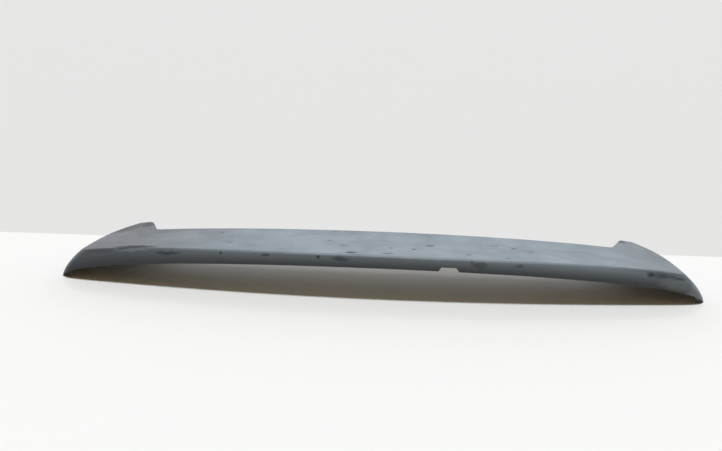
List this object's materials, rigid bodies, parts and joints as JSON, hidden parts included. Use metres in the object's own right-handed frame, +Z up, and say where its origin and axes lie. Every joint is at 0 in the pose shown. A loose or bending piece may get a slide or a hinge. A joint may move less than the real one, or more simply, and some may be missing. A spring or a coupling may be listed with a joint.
{
  "type": "roof spoiler",
  "caption": "One-piece arched roof spoiler with a bowed trailing lip, rounded ends and two short horns that reach forward, hollow and ribbed underneath.",
  "frame": {"origin": "middle of the spoiler's box in plan, on the flat surface that its end rims rest on", "axes": "+X across the car to its right, +Y forward from the trailing lip towards the horns, +Z up"},
  "size_m": [1.208, 0.2838, 0.0837],
  "materials": {
    "skin": "unpainted moulded dark grey plastic, satin, sun-bleached and scuffed"
  },
  "bodies": {
    "root": {"spoiler_shell": "skin"}
  },
  "joints": []
}
